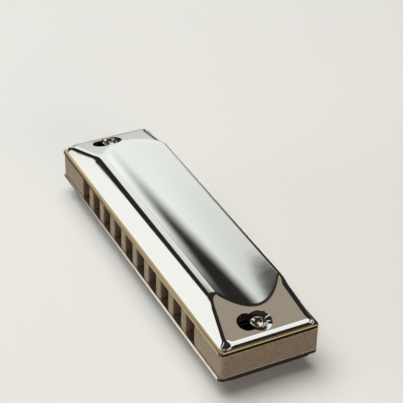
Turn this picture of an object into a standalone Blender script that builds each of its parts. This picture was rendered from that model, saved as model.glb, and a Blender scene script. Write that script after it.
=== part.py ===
"""Ten-hole diatonic harmonica with pressed metal covers, as an assembly of separate solids.

The hole numbers run along +X, the mouthpiece faces -Y and +Z is up. The origin is at the
middle of the footprint, on the surface that the instrument rests on.
"""
import math

import bmesh
import bpy
from mathutils import Matrix, Vector

MM = 0.001

# Driving dimensions, in millimetres
LENGTH = 101.5              # comb and reed plates, along X
DEPTH = 27.7                # comb and reed plates, along Y
HEIGHT = 19.2               # both covers, both reed plates and the comb
GAP = 0.3                   # clearance between two pieces that rest on each other
CORNER_RADIUS = 1.2         # upright corners of the comb and the reed plates

HOLES = 10
PITCH = 7.5                 # from one hole to the next
HOLE_WIDTH = 4.7
LONGEST_CHAMBER = 22.0      # at hole 1
SHORTEST_CHAMBER = 15.5     # at hole 10

PLATE_THICKNESS = 1.03
REED_THICKNESS = 0.25
REED_TIP_Y = -11.2          # all the reed tips lie on one line
WIDEST_REED = 2.3           # at hole 1
NARROWEST_REED = 1.9        # at hole 10
REED_PAD = 3.0              # side of the square pad that is riveted down
PAD_END_GAP = 0.5           # from the pad to the chamber's rear wall
SLOT_SIDE_GAP = 0.25
RIVET_RADIUS = 0.6
RIVET_HEAD_RADIUS = 1.2
RIVET_HEAD_HEIGHT = 0.35

COVER_HEIGHT = 5.19         # from the reed plate's face to the crest
SHEET = 0.5                 # thickness of the cover's sheet
COVER_END_INSET = 0.45      # from the end of the reed plate
FRONT_FOOT_Y = -12.92
BACK_FOOT_Y = 13.3
FRONT_RIDGE_Y = -9.06
BACK_RIDGE_Y = 11.9
FOLD_RADIUS = 1.2
PLAN_RADIUS = 1.6
END_WALL_HEIGHT = 1.35
PANEL_LENGTH = 15.1         # of the sloping panel at each end, along X
TROUGH_Y = 1.95
TROUGH_HALF_WIDTH = 8.85
TROUGH_RADIUS = 24.0
SOUND_OPENING_WIDTH = 65.0
BACK_LIP = 1.6
OPENING_RADIUS = 1.5

SCREW_X = 45.7
SCREW_Y = -1.0
LOBE_X = 45.1
LOBE_Y = -3.5
RECESS_RADIUS = 3.3
LOBE_RADIUS = 2.65
LOBE_HOLE_RADIUS = 2.3
COVER_SCREW_RADIUS = 1.15
COVER_HEAD_RADIUS = 2.05
COVER_HEAD_HEIGHT = 1.3
CROSS_LENGTH = 2.5
CROSS_WIDTH = 0.55
CROSS_DEPTH = 0.75
NUT_RADIUS = 2.2
NUT_HEIGHT = 1.2

PLATE_SCREW_RADIUS = 0.7
PLATE_HEAD_RADIUS = 1.3
PLATE_HEAD_HEIGHT = 0.7
PLATE_SCREW_SPOTS = (
    (-44.2, -9.3), (-15.0, -9.5), (15.0, -9.5), (44.2, -9.3),
    (-44.2, 8.6), (-15.0, 10.6), (15.0, 10.6), (44.2, 8.6),
)

# Levels that follow from the driving dimensions
LOWER_PLATE_Z = COVER_HEIGHT
UPPER_PLATE_Z = HEIGHT - COVER_HEIGHT - PLATE_THICKNESS
COMB_Z = LOWER_PLATE_Z + PLATE_THICKNESS + GAP
COMB_THICKNESS = UPPER_PLATE_Z - GAP - COMB_Z
RECESS_FLOOR = 1.5          # above the reed plate
OVERSHOOT = 1.0             # how far a cutter runs past the surface it cuts

# Number of sides of the round pieces
SMALL_SIDES = 10
MEDIUM_SIDES = 16
LARGE_SIDES = 32

# Curve axes (x, y, z) laid on the part's axes
FLAT = Matrix.Identity(3)
ALONG_X = Matrix(((0, 0, 1), (1, 0, 0), (0, 1, 0)))
ALONG_Y = Matrix(((1, 0, 0), (0, 0, -1), (0, 1, 0)))


def clear_scene():
    for old in list(bpy.data.objects):
        bpy.data.objects.remove(old, do_unlink=True)


def new_collection(name):
    made = bpy.data.collections.new(name)
    bpy.context.scene.collection.children.link(made)
    return made


def new_material(name, colour, metallic, roughness):
    made = bpy.data.materials.new(name)
    made.use_nodes = True
    shader = made.node_tree.nodes["Principled BSDF"]
    shader.inputs["Base Color"].default_value = (*colour, 1.0)
    shader.inputs["Metallic"].default_value = metallic
    shader.inputs["Roughness"].default_value = roughness
    return made


# Outlines, as lists of 2D points in millimetres

def rounded_outline(corners, radii, steps=4):
    """The closed outline through the corners, each one replaced by an arc of its radius."""
    points = []
    for index, (corner, radius) in enumerate(zip(corners, radii)):
        here = Vector(corner)
        if radius == 0:
            points.append(here)
            continue
        back = (Vector(corners[index - 1]) - here).normalized()
        ahead = (Vector(corners[(index + 1) % len(corners)]) - here).normalized()
        half = math.acos(max(-1.0, min(1.0, back.dot(ahead)))) / 2
        centre = here + (back + ahead).normalized() * radius / math.sin(half)
        start = here + back * radius / math.tan(half) - centre
        turn = math.copysign(math.pi - 2 * half, ahead.x * back.y - ahead.y * back.x)
        for step in range(steps + 1):
            points.append(centre + Matrix.Rotation(turn * step / steps, 2) @ start)
    return points


def rectangle(low_x, low_y, high_x, high_y, radius=0, steps=4):
    corners = [(low_x, low_y), (high_x, low_y), (high_x, high_y), (low_x, high_y)]
    return rounded_outline(corners, [radius] * 4, steps)


def circle(x, y, radius, sides):
    angles = [2 * math.pi * side / sides for side in range(sides)]
    return [Vector((x + radius * math.cos(a), y + radius * math.sin(a))) for a in angles]


# Solids

def extruded_mesh(name, outlines, low, high, axes=FLAT):
    """A flat shape, the first outline less the others, drawn out from low to high."""
    curve = bpy.data.curves.new(name, "CURVE")
    curve.dimensions = "2D"
    curve.fill_mode = "BOTH"
    curve.extrude = (high - low) / 2
    for outline in outlines:
        spline = curve.splines.new("POLY")
        spline.points.add(len(outline) - 1)
        for point, place in zip(spline.points, outline):
            point.co = (place[0], place[1], 0, 1)
        spline.use_cyclic_u = True
    drawn = bpy.data.objects.new(name, curve)
    bpy.context.scene.collection.objects.link(drawn)
    mesh = evaluated_mesh(drawn, name)
    bpy.data.objects.remove(drawn)
    bpy.data.curves.remove(curve)
    lift = Matrix.Translation((0, 0, (low + high) / 2))
    mesh.transform(Matrix.Scale(MM, 4) @ axes.to_4x4() @ lift)
    weld(mesh)
    return mesh


def evaluated_mesh(source, name):
    """The mesh of an object with its modifiers applied."""
    bpy.context.view_layer.update()
    graph = bpy.context.evaluated_depsgraph_get()
    mesh = bpy.data.meshes.new_from_object(source.evaluated_get(graph))
    mesh.name = name
    return mesh


def weld(mesh):
    shape = bmesh.new()
    shape.from_mesh(mesh)
    bmesh.ops.remove_doubles(shape, verts=shape.verts, dist=0.001 * MM)
    bmesh.ops.recalc_face_normals(shape, faces=shape.faces)
    shape.to_mesh(mesh)
    shape.free()


def cylinder_mesh(name, radius, low, high, sides):
    mesh = bpy.data.meshes.new(name)
    shape = bmesh.new()
    lift = Matrix.Translation((0, 0, (low + high) / 2 * MM))
    bmesh.ops.create_cone(shape, cap_ends=True, segments=sides, radius1=radius * MM,
                          radius2=radius * MM, depth=(high - low) * MM, matrix=lift)
    shape.to_mesh(mesh)
    shape.free()
    return mesh


def box_mesh(name, size, centre):
    mesh = bpy.data.meshes.new(name)
    shape = bmesh.new()
    bmesh.ops.create_cube(shape, size=MM)
    shape.to_mesh(mesh)
    shape.free()
    mesh.transform(Matrix.Translation(Vector(centre) * MM) @ Matrix.Diagonal((*size, 1)))
    return mesh


def turned_mesh(name, profile, sides):
    """A body turned about Z; its profile of (radius, height) runs down from the top."""
    outline = bpy.data.meshes.new(name)
    places = [(radius * MM, 0, height * MM) for radius, height in profile]
    outline.from_pydata(places, [(i, i + 1) for i in range(len(places) - 1)], [])
    turned = bpy.data.objects.new(name, outline)
    bpy.context.scene.collection.objects.link(turned)
    screw = turned.modifiers.new("turn", "SCREW")
    screw.steps = sides
    screw.render_steps = sides
    screw.use_merge_vertices = True
    screw.merge_threshold = 0.01 * MM
    mesh = evaluated_mesh(turned, name)
    bpy.data.objects.remove(turned)
    weld(mesh)
    return mesh


class Workshop:
    """Holds the collections and the parent empty, and makes the named objects."""

    def __init__(self):
        self.parts = new_collection("harmonica")
        self.cutters = new_collection("harmonica_cutters")
        self.root = bpy.data.objects.new("harmonica_origin", None)
        self.parts.objects.link(self.root)

    def part(self, name, mesh, material, place=(0, 0, 0), turn=None):
        made = bpy.data.objects.new(name, mesh)
        self.parts.objects.link(made)
        made.parent = self.root
        made.location = Vector(place) * MM
        if turn:
            made.rotation_euler = turn
        if not mesh.materials:
            mesh.materials.append(material)
            mesh.shade_smooth()
            mesh.set_sharp_from_angle(angle=math.radians(30))
        return made

    def cutter(self, mesh):
        made = bpy.data.objects.new(mesh.name, mesh)
        self.cutters.objects.link(made)
        made.display_type = "WIRE"
        made.hide_render = True
        return made


def combine(target, other, operation):
    step = target.modifiers.new(other.name, "BOOLEAN")
    step.operation = operation
    step.solver = "EXACT"
    step.object = other


# Layout of the ten channels

def along_row(first, last, hole):
    return first + (last - first) * hole / (HOLES - 1)


def hole_x(hole):
    return (hole - (HOLES - 1) / 2) * PITCH


def chamber_rear(hole):
    return -DEPTH / 2 + along_row(LONGEST_CHAMBER, SHORTEST_CHAMBER, hole)


def reed_root(hole):
    return chamber_rear(hole) - PAD_END_GAP - REED_PAD


def reed_width(hole):
    return along_row(WIDEST_REED, NARROWEST_REED, hole)


def screw_holes():
    """The fastener holes that the comb and both reed plates share."""
    outlines = []
    for x, y in PLATE_SCREW_SPOTS:
        outlines.append(circle(x, y, PLATE_SCREW_RADIUS + GAP, SMALL_SIDES))
    for side in (-1, 1):
        outlines.append(circle(side * SCREW_X, SCREW_Y, COVER_SCREW_RADIUS + GAP, MEDIUM_SIDES))
    return outlines


# Sub-parts

def make_comb(shop, material):
    """The body: ten channels, open at the mouthpiece and over their whole height."""
    half_x = LENGTH / 2
    half_y = DEPTH / 2
    corners = [(-half_x, -half_y)]
    radii = [CORNER_RADIUS]
    for hole in range(HOLES):
        left = hole_x(hole) - HOLE_WIDTH / 2
        right = hole_x(hole) + HOLE_WIDTH / 2
        rear = chamber_rear(hole)
        corners += [(left, -half_y), (left, rear), (right, rear), (right, -half_y)]
        radii += [0] * 4
    corners += [(half_x, -half_y), (half_x, half_y), (-half_x, half_y)]
    radii += [CORNER_RADIUS] * 3
    outlines = [rounded_outline(corners, radii)] + screw_holes()
    mesh = extruded_mesh("comb", outlines, 0, COMB_THICKNESS)
    shop.part("comb", mesh, material, (0, 0, COMB_Z))


def make_reed_plates(shop, material):
    """Two equal plates, each with a slot and a rivet hole over every channel."""
    outlines = [rectangle(-LENGTH / 2, -DEPTH / 2, LENGTH / 2, DEPTH / 2, CORNER_RADIUS)]
    for hole in range(HOLES):
        half = reed_width(hole) / 2 + SLOT_SIDE_GAP
        root = reed_root(hole)
        outlines.append(rectangle(hole_x(hole) - half, REED_TIP_Y - GAP,
                                  hole_x(hole) + half, root + SLOT_SIDE_GAP))
        outlines.append(circle(hole_x(hole), root + REED_PAD / 2, RIVET_RADIUS + GAP, SMALL_SIDES))
    mesh = extruded_mesh("reed_plate", outlines + screw_holes(), 0, PLATE_THICKNESS)
    shop.part("upper_reed_plate", mesh, material, (0, 0, UPPER_PLATE_Z))
    shop.part("lower_reed_plate", mesh, material, (0, 0, LOWER_PLATE_Z))


def reed_mesh(hole):
    """A tongue with a square pad; the origin is on the edge that the tongue bends about."""
    half = reed_width(hole) / 2
    tip = REED_TIP_Y - reed_root(hole)
    outline = [(-half, tip), (half, tip), (half, 0), (REED_PAD / 2, 0),
               (REED_PAD / 2, REED_PAD), (-REED_PAD / 2, REED_PAD), (-REED_PAD / 2, 0), (-half, 0)]
    rivet_hole = circle(0, REED_PAD / 2, RIVET_RADIUS + GAP, SMALL_SIDES)
    return extruded_mesh(f"reed_{hole + 1:02d}", [outline, rivet_hole],
                         -REED_THICKNESS / 2, REED_THICKNESS / 2)


def make_reeds(shop, material):
    """Blow reeds hang inside the channels, draw reeds hang under the lower plate."""
    drop = GAP + REED_THICKNESS / 2
    for hole in range(HOLES):
        mesh = reed_mesh(hole)
        number = f"{hole + 1:02d}"
        for kind, plate_z in (("blow", UPPER_PLATE_Z), ("draw", LOWER_PLATE_Z)):
            place = (hole_x(hole), reed_root(hole), plate_z - drop)
            shop.part(f"{kind}_reed_{number}", mesh, material, place)


def make_rivets(shop, material):
    """A rivet clamps each pad: one head on the plate, the other under the pad."""
    top = PLATE_THICKNESS + GAP
    bottom = -2 * GAP - REED_THICKNESS
    rim = RIVET_HEAD_RADIUS * 0.7
    profile = [(0, top + RIVET_HEAD_HEIGHT), (rim, top + RIVET_HEAD_HEIGHT), (RIVET_HEAD_RADIUS, top),
               (RIVET_RADIUS, top), (RIVET_RADIUS, bottom), (RIVET_HEAD_RADIUS, bottom),
               (rim, bottom - RIVET_HEAD_HEIGHT), (0, bottom - RIVET_HEAD_HEIGHT)]
    mesh = turned_mesh("reed_rivet", profile, SMALL_SIDES)
    for kind, plate_z in (("blow", UPPER_PLATE_Z), ("draw", LOWER_PLATE_Z)):
        for hole in range(HOLES):
            place = (hole_x(hole), reed_root(hole) + REED_PAD / 2, plate_z)
            shop.part(f"{kind}_rivet_{hole + 1:02d}", mesh, material, place)


def make_plate_screws(shop, material):
    """Pan-head screws that hold both reed plates on the comb."""
    seat = PLATE_THICKNESS + GAP
    tip = LOWER_PLATE_Z - UPPER_PLATE_Z
    profile = [(0, seat + PLATE_HEAD_HEIGHT), (PLATE_HEAD_RADIUS * 0.75, seat + PLATE_HEAD_HEIGHT * 0.9),
               (PLATE_HEAD_RADIUS, seat + PLATE_HEAD_HEIGHT * 0.4), (PLATE_HEAD_RADIUS, seat),
               (PLATE_SCREW_RADIUS, seat), (PLATE_SCREW_RADIUS, tip), (0, tip)]
    mesh = turned_mesh("reed_plate_screw", profile, SMALL_SIDES)
    for number, (x, y) in enumerate(PLATE_SCREW_SPOTS, start=1):
        shop.part(f"reed_plate_screw_{number}", mesh, material, (x, y, UPPER_PLATE_Z))


def cover_solid(shop, name, inset, foot):
    """The cover's outer form, or with an inset its inside: the space under three outlines.

    Heights are measured from the reed plate's face.
    """
    crest = COVER_HEIGHT - inset
    front_run = FRONT_RIDGE_Y - FRONT_FOOT_Y
    back_run = BACK_FOOT_Y - BACK_RIDGE_Y
    front_shift = inset * math.hypot(front_run, COVER_HEIGHT) / COVER_HEIGHT
    back_shift = inset * math.hypot(back_run, COVER_HEIGHT) / COVER_HEIGHT
    front_y = FRONT_FOOT_Y + front_shift
    back_y = BACK_FOOT_Y - back_shift

    def section_corner(base_y, run, height):
        return (base_y + run * height / COVER_HEIGHT, height)

    axis_z = COVER_HEIGHT + math.sqrt(TROUGH_RADIUS ** 2 - TROUGH_HALF_WIDTH ** 2)
    radius = TROUGH_RADIUS + inset
    swing = math.acos((axis_z - crest) / radius)
    steps = 16
    trough = []
    for step in range(steps + 1):
        angle = swing * (2 * step / steps - 1)
        trough.append((TROUGH_Y + radius * math.sin(angle), axis_z - radius * math.cos(angle)))
    corners = [section_corner(front_y, front_run, foot), section_corner(front_y, front_run, crest)]
    corners += trough
    corners += [section_corner(back_y, -back_run, crest), section_corner(back_y, -back_run, foot)]
    fold = FOLD_RADIUS - inset
    radii = [0, fold] + [0] * len(trough) + [fold, 0]
    reach = LENGTH / 2
    mesh = extruded_mesh(name, [rounded_outline(corners, radii)], -reach, reach, ALONG_X)
    solid = shop.cutter(mesh)

    slope = (COVER_HEIGHT - END_WALL_HEIGHT) / PANEL_LENGTH
    end_x = LENGTH / 2 - COVER_END_INSET
    wall_x = end_x - inset
    wall_top = END_WALL_HEIGHT - inset * math.sqrt(1 + slope ** 2) + inset * slope
    high = COVER_HEIGHT + OVERSHOOT
    high_x = wall_x - (high - wall_top) / slope
    low = foot - OVERSHOOT
    corners = [(-wall_x, low), (wall_x, low), (wall_x, wall_top), (high_x, high),
               (-high_x, high), (-wall_x, wall_top)]
    radii = [0, 0, fold, 0, 0, fold]
    mesh = extruded_mesh(name + "_side", [rounded_outline(corners, radii)], -reach, reach, ALONG_Y)
    combine(solid, shop.cutter(mesh), "INTERSECT")

    plan = rectangle(-wall_x, FRONT_FOOT_Y + inset, wall_x, BACK_FOOT_Y - inset,
                     PLAN_RADIUS - inset, steps=5)
    mesh = extruded_mesh(name + "_plan", [plan], low, high)
    combine(solid, shop.cutter(mesh), "INTERSECT")
    return solid


def round_cutter(shop, name, x, y, radius, low, high):
    cutter = shop.cutter(cylinder_mesh(name, radius, low, high, LARGE_SIDES))
    cutter.location = (x * MM, y * MM, 0)
    return cutter


def make_covers(shop, material):
    """Two equal pressed covers, one on each side, the lower one turned over about Y."""
    shell = cover_solid(shop, "cover_form", 0, GAP)
    inside = cover_solid(shop, "cover_inside", SHEET, GAP - OVERSHOOT)
    top = COVER_HEIGHT + OVERSHOOT
    recess = ((SCREW_X, SCREW_Y, RECESS_RADIUS), (LOBE_X, LOBE_Y, LOBE_RADIUS))
    for side in (-1, 1):
        for x, y, radius in recess:
            pocket = round_cutter(shop, "recess", side * x, y, radius, RECESS_FLOOR, top)
            combine(shell, pocket, "DIFFERENCE")
            cup = round_cutter(shop, "recess_cup", side * x, y, radius + SHEET, RECESS_FLOOR - SHEET, top)
            combine(inside, cup, "DIFFERENCE")
    combine(shell, inside, "DIFFERENCE")
    keyhole = ((SCREW_X, SCREW_Y, COVER_SCREW_RADIUS + GAP), (LOBE_X, LOBE_Y, LOBE_HOLE_RADIUS))
    for side in (-1, 1):
        for x, y, radius in keyhole:
            hole = round_cutter(shop, "keyhole", side * x, y, radius, -OVERSHOOT, RECESS_FLOOR + GAP)
            combine(shell, hole, "DIFFERENCE")

    half = SOUND_OPENING_WIDTH / 2
    lip = COVER_HEIGHT - BACK_LIP
    corners = [(-half, -OVERSHOOT), (half, -OVERSHOOT), (half, lip), (-half, lip)]
    outline = rounded_outline(corners, [0, 0, OPENING_RADIUS, OPENING_RADIUS])
    mesh = extruded_mesh("sound_opening", [outline], -DEPTH / 2 - OVERSHOOT,
                         -BACK_RIDGE_Y + 2 * SHEET, ALONG_Y)
    combine(shell, shop.cutter(mesh), "DIFFERENCE")

    mesh = evaluated_mesh(shell, "cover")
    shop.part("upper_cover", mesh, material, (0, 0, HEIGHT - COVER_HEIGHT))
    shop.part("lower_cover", mesh, material, (0, 0, COVER_HEIGHT), (0, math.pi, 0))


def make_cover_fasteners(shop, screw_material, nut_material):
    """A domed cross-recess screw and a hexagon nut at each end hold the covers on."""
    seat = HEIGHT - COVER_HEIGHT + RECESS_FLOOR + GAP
    nut_z = COVER_HEIGHT - RECESS_FLOOR - GAP - NUT_HEIGHT
    edge = COVER_HEAD_HEIGHT * 0.3
    dome = COVER_HEAD_HEIGHT - edge
    steps = 5
    profile = []
    for step in range(steps + 1):
        angle = math.pi / 2 * step / steps
        profile.append((COVER_HEAD_RADIUS * math.sin(angle), edge + dome * math.cos(angle)))
    profile += [(COVER_HEAD_RADIUS, 0), (COVER_SCREW_RADIUS, 0),
                (COVER_SCREW_RADIUS, nut_z - seat), (0, nut_z - seat)]
    blank = turned_mesh("cover_screw_blank", profile, MEDIUM_SIDES)
    screw = shop.cutter(blank)
    centre = (0, 0, COVER_HEAD_HEIGHT - CROSS_DEPTH + OVERSHOOT)
    for size in ((CROSS_LENGTH, CROSS_WIDTH, 2 * OVERSHOOT), (CROSS_WIDTH, CROSS_LENGTH, 2 * OVERSHOOT)):
        combine(screw, shop.cutter(box_mesh("cross_recess", size, centre)), "DIFFERENCE")
    screw_mesh = evaluated_mesh(screw, "cover_screw")
    bore = circle(0, 0, COVER_SCREW_RADIUS + GAP, MEDIUM_SIDES)
    nut_mesh = extruded_mesh("cover_nut", [circle(0, 0, NUT_RADIUS, 6), bore], 0, NUT_HEIGHT)
    for name, side in (("left", -1), ("right", 1)):
        spot = (side * SCREW_X, SCREW_Y)
        shop.part(f"cover_screw_{name}", screw_mesh, screw_material, (*spot, seat))
        shop.part(f"cover_nut_{name}", nut_mesh, nut_material, (*spot, nut_z))


def main():
    clear_scene()
    shop = Workshop()
    chrome = new_material("polished_chrome", (0.80, 0.80, 0.78), 1.0, 0.06)
    comb_metal = new_material("blasted_metal", (0.36, 0.32, 0.26), 0.7, 0.55)
    plate_brass = new_material("plate_brass", (0.72, 0.58, 0.34), 1.0, 0.25)
    reed_brass = new_material("reed_brass", (0.78, 0.60, 0.30), 1.0, 0.30)
    rivet_brass = new_material("rivet_brass", (0.70, 0.55, 0.30), 1.0, 0.35)
    steel = new_material("plated_steel", (0.62, 0.60, 0.55), 1.0, 0.28)
    screw_steel = new_material("cover_screw_steel", (0.66, 0.61, 0.50), 1.0, 0.18)
    make_comb(shop, comb_metal)
    make_reed_plates(shop, plate_brass)
    make_reeds(shop, reed_brass)
    make_rivets(shop, rivet_brass)
    make_plate_screws(shop, steel)
    make_covers(shop, chrome)
    make_cover_fasteners(shop, screw_steel, steel)


main()
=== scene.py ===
"""Looks of the ten-hole harmonica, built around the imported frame."""
import math

import bmesh
import bpy
import numpy as np
from mathutils import Matrix, Vector


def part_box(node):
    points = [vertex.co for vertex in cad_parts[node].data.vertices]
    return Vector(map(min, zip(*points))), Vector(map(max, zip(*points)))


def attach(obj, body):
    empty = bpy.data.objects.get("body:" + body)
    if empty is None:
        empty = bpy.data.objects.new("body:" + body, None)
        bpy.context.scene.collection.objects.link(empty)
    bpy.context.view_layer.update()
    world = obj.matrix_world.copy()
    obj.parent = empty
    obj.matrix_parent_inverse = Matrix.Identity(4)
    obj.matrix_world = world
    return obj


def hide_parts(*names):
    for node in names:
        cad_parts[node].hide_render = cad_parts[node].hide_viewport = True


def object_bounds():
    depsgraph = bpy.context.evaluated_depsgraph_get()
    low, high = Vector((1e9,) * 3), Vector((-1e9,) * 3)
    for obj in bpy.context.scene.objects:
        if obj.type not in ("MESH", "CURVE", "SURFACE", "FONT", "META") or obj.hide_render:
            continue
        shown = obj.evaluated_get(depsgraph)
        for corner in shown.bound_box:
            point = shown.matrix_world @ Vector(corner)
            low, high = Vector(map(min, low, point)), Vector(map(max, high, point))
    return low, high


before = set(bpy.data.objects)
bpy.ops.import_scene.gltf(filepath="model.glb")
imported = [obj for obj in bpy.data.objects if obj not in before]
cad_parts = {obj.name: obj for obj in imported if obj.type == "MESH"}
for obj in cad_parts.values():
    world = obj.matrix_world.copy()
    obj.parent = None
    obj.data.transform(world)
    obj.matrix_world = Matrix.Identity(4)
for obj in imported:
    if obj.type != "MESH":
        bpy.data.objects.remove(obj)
cad_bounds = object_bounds()

MM = 0.001
BODY = "body"
HOLES = 10
KINDS = ("blow", "draw")


# ---------- levels and places, from the frame

def box_mm(node):
    """A node's lowest and highest corners, in millimetres."""
    low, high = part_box(node)
    return low / MM, high / MM


def middle_mm(node):
    low, high = box_mm(node)
    return (low + high) / 2


PLATES = {"blow": box_mm("upper_reed_plate"), "draw": box_mm("lower_reed_plate")}
LENGTH = PLATES["blow"][1].x - PLATES["blow"][0].x
DEPTH = PLATES["blow"][1].y - PLATES["blow"][0].y
HEIGHT = box_mm("upper_cover")[1].z
UPPER_FACE = PLATES["blow"][1].z
LOWER_FACE = PLATES["draw"][0].z
CREST = HEIGHT - UPPER_FACE
SCREW_X = middle_mm("cover_screw_right").x
SCREW_Y = middle_mm("cover_screw_right").y

# The cover's form, in millimetres; heights are above the reed plate's face
FRONT_FOOT_Y = -13.12
BACK_FOOT_Y = 13.3
FRONT_RIDGE_Y = -9.0
BACK_RIDGE_Y = 11.9
END_X = LENGTH / 2 - 0.45
END_WALL_HEIGHT = 1.35
PANEL_LENGTH = 15.1
TROUGH_Y = 1.95
TROUGH_HALF_WIDTH = 8.85
TROUGH_RADIUS = 24.0
SHEET = 0.45
SOUND_OPENING_HALF = 32.5
BACK_LIP = 1.6
FOOT_ROLL = 0.28
FOOT_BAND_Y = 11.6          # beyond this only the front and back walls' feet lie
TROUGH_AXIS_Z = CREST + math.sqrt(TROUGH_RADIUS ** 2 - TROUGH_HALF_WIDTH ** 2)
PANEL_SLOPE = math.atan2(CREST - END_WALL_HEIGHT, PANEL_LENGTH)

# Widths of the blends between the cover's faces
RIDGE_CREASE = 0.04
PANEL_CREASE = 0.36
END_FOLD = 1.35
FRONT_FOLDS = (1.7, 0.85)    # along the ridge, and beside the end panels
BACK_FOLDS = (1.25, 2.4)
CORNER_FOLD = 2.0
CORNER_REACH = 2.5
LONG_WALLS = ((FRONT_FOOT_Y, FRONT_RIDGE_Y, FRONT_FOLDS), (BACK_FOOT_Y, BACK_RIDGE_Y, BACK_FOLDS))

# The pressed keyhole recess
RECESS_Y = SCREW_Y + 0.55   # its mouth lies a little behind the screw, so its back wall leans
LOBE_X = SCREW_X - 0.6
LOBE_Y = SCREW_Y - 2.65
RECESS_RADIUS = 3.1
RECESS_BASE_RADIUS = 2.55
LOBE_RADIUS = 2.65
LOBE_BASE_RADIUS = 2.55
SCREW_HOLE_RADIUS = 1.5
LOBE_HOLE_RADIUS = 2.4
RECESS_FLOOR = 1.5
RIM_RADIUS = 0.05
FLOOR_RADIUS = 0.06
RECESS_MARGIN = (0.25, 0.4)  # of the rectangle that the recess is let into, along X and Y
UNSHADED_SIDE = (0.46, 0.89)    # the way, outwards and back, to the side of the cup's wall that is left out of the painted shade
UNSHADED_FROM = 1.3
CUP_SHADE_INSET = 0.03            # how far inside its outline a cup's painted shade starts

# Comb and reed plates
CORNER_RADIUS = 1.2
COMB_RIM = 0.28
PLATE_RIM = {"blow": 0.35, "draw": 0.1}
COMB_FRONT_INSET = 0.35
SEAM = 0.03                 # hairline left between two parts that are pressed together
HOLE_WIDTH = 4.7
MOUTH_RADIUS = 0.3
REAR_RADIUS = 0.5
SCREW_BORE = 1.0
COVER_SCREW_BORE = 1.3

# Reeds and rivets
WIDEST_REED = 2.3
NARROWEST_REED = 1.9
REED_PAD = 3.0
PAD_END_GAP = 0.5
SLOT_SIDE_GAP = 0.12
SLOT_RADIUS = 0.15
REED_THICKNESS = 0.22
REED_EDGE = 0.03
TIP_THICKNESS = (0.16, 0.19)
MILLED_DEPTH = 0.08         # taken off a reed at its waist
MILLED_SPREAD = 0.2         # how far the waist reaches, as a share of the reed
TIP_GAP = 0.12              # how far a reed's tip stands off its slot
ROOT_GAP = 0.03             # between the moving tongue and its fixed pad
RIVET_BORE = 0.75
RIVET_HEAD_RADIUS = 1.15
RIVET_HEAD_HEIGHT = 0.36
RIVET_SHANK = 0.6
RIVET_STAND = 0.37          # from the reed's or the plate's face to the head's top

# Fasteners
COVER_HEAD_RADIUS = 2.05
COVER_HEAD_EDGE = 0.75
COVER_CROSS = (2.4, 0.9)     # the length and width of its arms
COVER_CROSS_DEPTH = 0.85
COVER_CROSS_TURN = 0.45
COVER_SHANK = 1.15
COVER_PITCH = 0.42
PLATE_HEAD_RADIUS = 1.3
PLATE_HEAD_HEIGHT = 0.72
PLATE_HEAD_EDGE = 0.28
PLATE_CROSS = (1.5, 0.36)
PLATE_CROSS_DEPTH = 0.42
PLATE_CROSS_TURN = 0.5       # from one plate screw to the next
PLATE_SHANK = 0.7
PLATE_PITCH = 0.35
CROSS_WALL = (-0.04, 0.14)   # the band around a cross's outline in which its wall falls
CROSS_TAPER = 0.45           # how much shallower a cross is at the ends of its arms
CROSS_SHADE_INSET = 0.06           # how far inside its outline a cover screw's cross starts to get painted shade
HEAD_CHAMFER = 0.08
THREAD_DEPTH = 0.14
THREAD_START = 0.8           # under the head's seat
POINT = (0.15, 0.12)         # a screw end's chamfer, across and along
NUT_RADIUS = 2.2
NUT_BORE = 1.05
NUT_CHAMFER = 0.17


# ---------- small helpers

def spaced(first, last, step):
    """Evenly spaced values from first to last, no more than a step apart."""
    count = max(1, math.ceil(abs(last - first) / step))
    return list(np.linspace(first, last, count + 1))


def chained(*runs):
    """Runs joined end to end, each one starting where the last one stopped."""
    values = list(runs[0])
    for run in runs[1:]:
        values += list(run)[1:]
    return values


def smooth_max(a, b, width):
    """The larger of two fields, with a round blend where they are closer than the width."""
    near = np.maximum(width - np.abs(a - b), 0) / width
    return np.maximum(a, b) + near * near * width / 4


def smooth_min(a, b, width):
    return -smooth_max(-a, -b, width)


def smooth_step(value, first, last):
    share = np.clip((value - first) / (last - first), 0, 1)
    return share * share * (3 - 2 * share)


def link(obj):
    bpy.context.scene.collection.objects.link(obj)
    return obj


def baked_mesh(obj):
    """An object's mesh with its modifiers applied; the object itself is removed."""
    bpy.context.view_layer.update()
    graph = bpy.context.evaluated_depsgraph_get()
    mesh = bpy.data.meshes.new_from_object(obj.evaluated_get(graph))
    mesh.name = obj.name
    bpy.data.objects.remove(obj)
    return mesh


def mesh_from(name, shape):
    """A mesh in metres from a bmesh in millimetres."""
    bmesh.ops.recalc_face_normals(shape, faces=shape.faces)
    bmesh.ops.scale(shape, vec=(MM, MM, MM), verts=shape.verts)
    mesh = bpy.data.meshes.new(name)
    shape.to_mesh(mesh)
    shape.free()
    return mesh


def crisp(mesh, angle=35):
    """Smooth shading with flat faces kept flat and edges sharper than the angle kept sharp."""
    mesh.shade_smooth()
    mesh.set_sharp_from_angle(angle=math.radians(angle))
    obj = link(bpy.data.objects.new(mesh.name, mesh))
    weighted = obj.modifiers.new("flat_faces", "WEIGHTED_NORMAL")
    weighted.keep_sharp = True
    return baked_mesh(obj)


def piece(name, mesh, material, nodes, body=BODY):
    """A finished mesh as a piece that rides on a body and stands for CAD nodes."""
    obj = link(bpy.data.objects.new(name, mesh))
    obj.data.materials.clear()
    obj.data.materials.append(material)
    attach(obj, body)
    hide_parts(*nodes)
    return obj


def paint_shade(obj, inside):
    """Gives the faces whose middle lies in a region the near-black material of painted shade."""
    faces = obj.data.polygons
    middles = np.empty(len(faces) * 3)
    faces.foreach_get("center", middles)
    obj.data.materials.append(PAINTED_SHADE)
    faces.foreach_set("material_index", inside(middles.reshape(-1, 3) / MM).astype(np.int32))


# ---------- materials

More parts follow.
